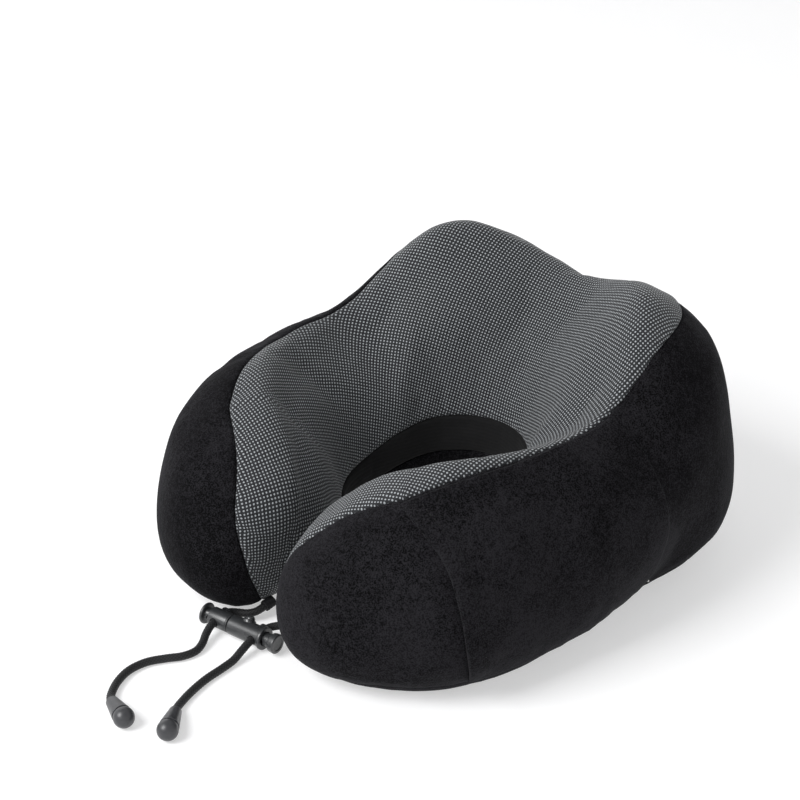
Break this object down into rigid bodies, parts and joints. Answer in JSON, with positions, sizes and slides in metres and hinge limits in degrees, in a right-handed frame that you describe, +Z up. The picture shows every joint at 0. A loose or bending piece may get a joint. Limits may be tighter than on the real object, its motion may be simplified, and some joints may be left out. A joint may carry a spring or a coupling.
{
  "type": "u-shaped neck pillow",
  "caption": "Memory foam travel neck pillow with raised side lobes, a zipped cover with a knit top and velour sides, a side pocket and a drawcord with a snap-together cord lock.",
  "frame": {"origin": "on the surface the pillow rests on, under the middle of its footprint, without the cords and the cord lock", "axes": "+Z up; +Y from the open end of the U towards the tall back; +X towards the arm with the pocket"},
  "size_m": [0.2403, 0.3431, 0.1329],
  "materials": {
    "velour": "short-pile black velour",
    "dotted_knit": "charcoal knit with a fine light dot grid",
    "neck_knit": "smooth black knit",
    "foam": "cream slow-recovery foam",
    "liner": "thin off-white knit",
    "zip_tape": "black woven tape",
    "zip_coil": "black nylon coil",
    "zip_metal": "gunmetal",
    "lock_plastic": "semi-gloss dark grey moulded plastic",
    "bell_plastic": "satin grey moulded plastic",
    "spring_steel": "bright wire",
    "cord": "black braided round cord"
  },
  "bodies": {
    "pillow": {"foam_core": "foam", "inner_liner": "liner", "cover_side_panel": "velour", "cover_top_panel": "dotted_knit", "cover_neck_band": "neck_knit", "cover_base_panel": "velour", "pocket_panel": "velour", "zip_tape_upper": "zip_tape", "zip_tape_lower": "zip_tape", "zip_chain": "zip_coil", "zip_top_stop": "zip_metal", "zip_bottom_stop": "zip_metal", "left_cord_anchor": "zip_tape", "right_cord_anchor": "zip_tape", "left_cord_lead": "cord", "right_cord": "cord", "right_barrel": "lock_plastic", "right_spring": "spring_steel", "right_bell": "bell_plastic", "right_bell_cap": "bell_plastic", "right_knot": "cord"},
    "zip_slider": {"zip_slider": "zip_metal"},
    "zip_pull_tab": {"zip_pull_tab": "zip_metal"},
    "left_lock_half": {"left_barrel": "lock_plastic", "left_spring": "spring_steel", "left_cord_tail": "cord", "left_bell": "bell_plastic", "left_bell_cap": "bell_plastic", "left_knot": "cord"},
    "left_plunger": {"left_plunger": "lock_plastic"},
    "right_plunger": {"right_plunger": "lock_plastic"},
    "release_button": {"release_button": "lock_plastic"}
  },
  "joints": [
    {"name": "zip_travel", "type": "hinge", "parent": "pillow", "child": "zip_slider", "pos_m": [-0.00125, -0.02625, 0.0086], "axis": [0, 0, 1], "range_deg": [0, 59]},
    {"name": "pull_tab_swing", "type": "hinge", "parent": "zip_slider", "child": "zip_pull_tab", "pos_m": [0.07501, 0.108, 0.00665], "axis": [0.2964, 0.5217, 0.8], "range_deg": [0, 165]},
    {"name": "lock_unplug", "type": "slide", "parent": "pillow", "child": "left_lock_half", "axis": [-0.9848, -0.1736, 0], "range_m": [0, 0.008]},
    {"name": "left_plunger_press", "type": "slide", "parent": "left_lock_half", "child": "left_plunger", "axis": [0.9848, 0.1736, 0], "range_m": [0, 0.0022], "stiffness_N_per_m": 600, "springref_m": -0.002, "deforming": ["left_spring"]},
    {"name": "right_plunger_press", "type": "slide", "parent": "pillow", "child": "right_plunger", "axis": [-0.9848, -0.1736, 0], "range_m": [0, 0.0022], "stiffness_N_per_m": 600, "springref_m": -0.002, "deforming": ["right_spring"]},
    {"name": "release_press", "type": "slide", "parent": "pillow", "child": "release_button", "axis": [0.1116, -0.633, -0.766], "range_m": [0, 0.001], "stiffness_N_per_m": 500, "springref_m": -0.001}
  ]
}
